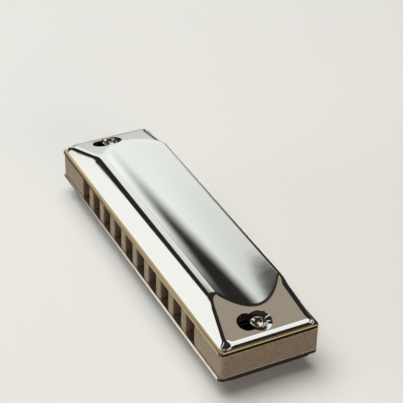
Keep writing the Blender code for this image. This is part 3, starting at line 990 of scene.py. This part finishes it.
def make_cover_fasteners():
    """The two long screws through everything, with their nuts in the lower cover's cups."""
    for side in ("left", "right"):
        node = f"cover_screw_{side}"
        spot = middle_mm(node)
        low, high = box_mm(node)
        seat = UPPER_FACE + RECESS_FLOOR + SEAM
        nut_low, nut_high = box_mm(f"cover_nut_{side}")
        profile = screw_profile(COVER_HEAD_RADIUS, high.z - seat, COVER_HEAD_EDGE,
                                COVER_SHANK, seat - low.z, COVER_PITCH)
        name = f"cover_screw_domed_{side}"
        press = cross_press(*COVER_CROSS, COVER_CROSS_DEPTH, COVER_CROSS_TURN, above=0.6)
        mesh = turned_mesh(name, profile, 96, press)
        move_mm(mesh, spot.x, spot.y, seat)

        # Painted shade in the screw's cross recess.
        def in_cross(points):
            inner = depth_in_cross(points[:, 0] - spot.x, points[:, 1] - spot.y,
                                   *COVER_CROSS, COVER_CROSS_TURN)
            return (inner > CROSS_SHADE_INSET) & (points[:, 2] > seat)

        paint_shade(piece(name, crisp(mesh, 50), SCREW, [node]), in_cross)

        name = f"cover_nut_hexagon_{side}"
        profile = nut_profile(nut_high.z - nut_low.z, NUT_BORE)
        mesh = turned_mesh(name, profile, 72, hexagon_clip, closed=True)
        lift = LOWER_FACE - RECESS_FLOOR - SEAM - nut_high.z
        move_mm(mesh, spot.x, spot.y, nut_low.z + lift)
        piece(name, crisp(mesh, 30), STEEL, [f"cover_nut_{side}"])


# ---------- floor, light and camera

FLOOR_SIZE = (6.0, 6.0)
FLOOR_COLOUR = (0.66, 0.655, 0.64)
BACKDROP_COLOUR = (0.80, 0.79, 0.775)
BACKDROP_RADIUS = 4.0
WORLD_COLOUR = (0.022, 0.020, 0.018)

# The camera: its direction in degrees, its place from the object's middle in metres, its lens
CAMERA_AZIMUTH = 62.68
CAMERA_ELEVATION = 34.26
CAMERA_ROLL = 1.48
CAMERA_PLACE = (0.26667, -0.13146, 0.21611)
CAMERA_LENS = 120.9

# The colours of the lights and the cards
COOL = (0.96, 1.0, 0.95)
WARM = (1.0, 1.0, 0.97)
BROWN = (1.0, 0.85, 0.65)
AMBER = (1.0, 0.82, 0.66)

# The area lights, in metres and watts: name, place, size, energy, colour
FILLS = (
    ("overhead_fill", (-0.3, -0.2, 1.2), (1.2, 1.2), 22.0, WARM),
    ("front_fill", (-0.3, -1.1, 0.10), (0.8, 0.16), 8.0, WARM),
    ("end_fill", (1.1, 0.0, 0.30), (0.6, 0.4), 5.0, AMBER),
)

# The studio cards, in metres: name, level of the plane, the two spans, strength, colour, fades
SIDE_CARDS = (
    ("back_left_window", -0.5, (-0.08, 0.395), (-0.02, 0.59), 0.74, COOL, (0.03, 0.24, 0.2, 0.07)),
    ("window_glow", -0.51, (-0.08, 0.395), (-0.02, 0.585), 0.20, COOL, (0.03, 0.24, 0.2, 0.4)),
    ("low_left_strip", -0.505, (0.28, 0.55), (0.08, 0.28), 0.92, COOL, (0.38, 0.52, 0.2, 0.62)),
    ("front_left_window", -0.5, (-0.80, -0.315), (-0.05, 0.55), 1.0, WARM, (0.1, 0.08, 0.1, 0.1)),
    ("low_left_bounce", -0.5, (-0.46, -0.19), (-0.62, -0.28), 1.0, WARM, (0.2, 0.2, 0.2, 0.2)),
    ("under_left_window", -0.5, (0.0, 0.45), (-0.40, -0.04), 0.6, COOL, (0.2, 0.2, 0.2, 0.2)),
    ("right_window", 0.6, (-0.16, 0.10), (0.04, 0.36), 0.8, WARM, (0.3, 0.3, 0.15, 0.15)),
    ("right_front_window", 0.61, (-0.63, -0.08), (0.04, 0.36), 0.5, WARM, (0.03, 0.3, 0.15, 0.15)),
    ("right_back_window", 0.6, (0.33, 0.60), (0.04, 0.40), 0.8, COOL, (0.15, 0.15, 0.15, 0.15)),
)
END_CARDS = (
    ("back_window", 0.6, (-0.02, 0.60), (0.04, 0.40), 0.8, WARM, (0.12, 0.15, 0.15, 0.15)),
    ("front_window", -0.6, (-0.35, 0.18), (0.04, 0.36), 0.8, WARM, (0.15, 0.3, 0.15, 0.15)),
    ("front_right_window", -0.61, (0.04, 0.60), (0.04, 0.36), 0.5, WARM, (0.3, 0.03, 0.15, 0.15)),
    ("under_back_window", 0.6, (-0.45, 0.60), (-0.40, -0.06), 0.6, WARM, (0.15, 0.15, 0.15, 0.15)),
    ("under_front_window", -0.6, (-0.35, 0.50), (-0.42, -0.08), 0.6, COOL, (0.15, 0.15, 0.15, 0.15)),
)
CEILING_CARDS = (
    ("ceiling", 0.6, (-0.40, -0.09), (-0.05, 0.50), 0.34, BROWN, (0.2, 0.03, 0.15, 0.15)),
    ("right_skylight", 0.56, (-0.07, 0.95), (-0.05, 0.55), 0.95, WARM, (0.02, 0.1, 0.15, 0.15)),
    ("front_skylight", 0.58, (-0.12, 0.06), (-1.0, -0.28), 0.7, COOL, (0.25, 0.25, 0.2, 0.2)),
    ("under_skylight", -0.6, (-0.30, 0.30), (-0.50, 0.10), 0.4, WARM, (0.25, 0.25, 0.25, 0.25)),
)


def add_node(tree, kind, **values):
    node = tree.nodes.new(kind)
    for name, value in values.items():
        setattr(node, name, value)
    return node


def flat_sheet(name, size):
    """A single level rectangle as an object, size metres along its own X and Y."""
    shape = bmesh.new()
    bmesh.ops.create_grid(shape, x_segments=1, y_segments=1, size=0.5)
    bmesh.ops.scale(shape, vec=(*size, 1), verts=shape.verts)
    mesh = bpy.data.meshes.new(name)
    shape.to_mesh(mesh)
    shape.free()
    return link(bpy.data.objects.new(name, mesh))


def soft_card(name, turn, place, size, strength, colour, fades):
    """A studio card: a glowing sheet with soft borders that only shows in reflections.

    The fades are the shares of its size over which it dims: left, right, bottom and top.
    """
    card = flat_sheet(name, size)
    card.matrix_world = Matrix.Translation(place) @ turn.to_4x4()
    card.visible_camera = False
    card.visible_diffuse = False
    material = bpy.data.materials.new(name)
    material.use_nodes = True
    tree = material.node_tree
    tree.nodes.clear()
    coords = add_node(tree, "ShaderNodeTexCoord")
    axes = add_node(tree, "ShaderNodeSeparateXYZ")
    tree.links.new(coords.outputs["Object"], axes.inputs[0])
    level = None
    for axis, edge, fade in zip("XXYY", (-size[0], size[0], -size[1], size[1]), fades):
        ramp = add_node(tree, "ShaderNodeMapRange", interpolation_type="SMOOTHSTEP")
        ramp.inputs["From Min"].default_value = edge / 2
        ramp.inputs["From Max"].default_value = edge / 2 - edge * fade
        ramp.inputs["To Max"].default_value = 1.0 if level else strength
        tree.links.new(axes.outputs[axis], ramp.inputs["Value"])
        if level:
            both = add_node(tree, "ShaderNodeMath", operation="MULTIPLY")
            tree.links.new(level, both.inputs[0])
            tree.links.new(ramp.outputs["Result"], both.inputs[1])
            level = both.outputs[0]
        else:
            level = ramp.outputs["Result"]
    glow = add_node(tree, "ShaderNodeEmission")
    glow.inputs["Color"].default_value = (*colour, 1)
    tree.links.new(level, glow.inputs["Strength"])
    clear = add_node(tree, "ShaderNodeBsdfTransparent")
    added = add_node(tree, "ShaderNodeAddShader")
    tree.links.new(glow.outputs[0], added.inputs[0])
    tree.links.new(clear.outputs[0], added.inputs[1])
    output = add_node(tree, "ShaderNodeOutputMaterial")
    tree.links.new(added.outputs[0], output.inputs["Surface"])
    card.data.materials.append(material)


def hang_cards():
    """Hangs each group of cards square to one axis; their spans run along the two others."""
    unit = Matrix.Identity(3)
    for cards, across, along, facing in ((SIDE_CARDS, 1, 2, 0), (END_CARDS, 0, 2, 1),
                                         (CEILING_CARDS, 0, 1, 2)):
        turn = Matrix((unit[across], unit[along], unit[across].cross(unit[along]))).transposed()
        for name, level, first, second, strength, colour, fades in cards:
            place = Vector()
            place[across] = sum(first) / 2
            place[along] = sum(second) / 2
            place[facing] = level
            size = (first[1] - first[0], second[1] - second[0])
            soft_card(name, turn, place, size, strength, colour, fades)


def fill_light(name, place, size, energy, colour):
    """A broad area light aimed at the object, which doesn't show in reflections."""
    light = bpy.data.lights.new(name, "AREA")
    light.shape = "RECTANGLE"
    light.size, light.size_y = size
    light.energy = energy
    light.color = colour
    obj = link(bpy.data.objects.new(name, light))
    obj.location = place
    obj.rotation_euler = (-Vector(place)).to_track_quat("-Z", "Y").to_euler()
    obj.visible_camera = False
    obj.visible_glossy = False


def make_floor():
    """A pale sheet under the object, seen only from above and not in reflections."""
    floor = flat_sheet("floor", FLOOR_SIZE)
    floor.location = (0, 0, cad_bounds[0][2])
    floor.visible_glossy = False
    paint = Shader("floor_paint", FLOOR_COLOUR, 0.0, 0.8)
    paint.feed("Roughness", paint.remap(paint.noise(20.0), 0.75, 0.85))
    tree = paint.tree
    clear = add_node(tree, "ShaderNodeBsdfTransparent")
    side = add_node(tree, "ShaderNodeNewGeometry")
    mixed = add_node(tree, "ShaderNodeMixShader")
    tree.links.new(side.outputs["Backfacing"], mixed.inputs[0])
    tree.links.new(paint.bsdf.outputs[0], mixed.inputs[1])
    tree.links.new(clear.outputs[0], mixed.inputs[2])
    tree.links.new(mixed.outputs[0], tree.nodes["Material Output"].inputs["Surface"])
    floor.data.materials.append(paint.material)


def make_backdrop():
    """A pale round backdrop that only the camera sees, behind the floor and below it."""
    shape = bmesh.new()
    bmesh.ops.create_uvsphere(shape, u_segments=48, v_segments=24, radius=BACKDROP_RADIUS)
    mesh = bpy.data.meshes.new("backdrop")
    shape.to_mesh(mesh)
    shape.free()
    backdrop = link(bpy.data.objects.new("backdrop", mesh))
    backdrop.visible_diffuse = False
    backdrop.visible_glossy = False
    backdrop.visible_transmission = False
    backdrop.visible_shadow = False
    paper = bpy.data.materials.new("backdrop_paper")
    paper.use_nodes = True
    tree = paper.node_tree
    tree.nodes.clear()
    glow = add_node(tree, "ShaderNodeEmission")
    glow.inputs["Color"].default_value = (*BACKDROP_COLOUR, 1)
    output = add_node(tree, "ShaderNodeOutputMaterial")
    tree.links.new(glow.outputs[0], output.inputs["Surface"])
    mesh.materials.append(paper)


def make_stage():
    make_floor()
    make_backdrop()
    world = bpy.data.worlds.new("studio")
    world.use_nodes = True
    world.node_tree.nodes["Background"].inputs["Color"].default_value = (*WORLD_COLOUR, 1)
    world.node_tree.nodes["Background"].inputs["Strength"].default_value = 1.0
    bpy.context.scene.world = world
    bpy.context.scene.view_settings.view_transform = "Standard"
    hang_cards()
    for name, place, size, energy, colour in FILLS:
        fill_light(name, place, size, energy, colour)


def make_camera():
    """The camera of the picture: from the front right and above, with a long lens."""
    azimuth = math.radians(CAMERA_AZIMUTH)
    elevation = math.radians(CAMERA_ELEVATION)
    roll = math.radians(CAMERA_ROLL)
    back = Vector((math.sin(azimuth) * math.cos(elevation),
                   -math.cos(azimuth) * math.cos(elevation), math.sin(elevation)))
    right = Vector((math.cos(azimuth), math.sin(azimuth), 0))
    up = back.cross(right)
    turned_right = math.cos(roll) * right + math.sin(roll) * up
    turned_up = math.cos(roll) * up - math.sin(roll) * right
    pose = Matrix((turned_right, turned_up, back)).transposed().to_4x4()
    x, y, z = CAMERA_PLACE
    pose.translation = Vector((x, y, z + HEIGHT / 2 * MM))
    data = bpy.data.cameras.new("camera")
    data.sensor_width = 36.0
    data.lens = CAMERA_LENS
    data.clip_start = 0.01
    camera = link(bpy.data.objects.new("camera", data))
    camera.matrix_world = pose
    bpy.context.scene.camera = camera


make_stage()
make_camera()
make_comb()
make_reed_plates()
make_reeds()
make_rivets()
make_plate_screws()
make_covers()
make_cover_fasteners()
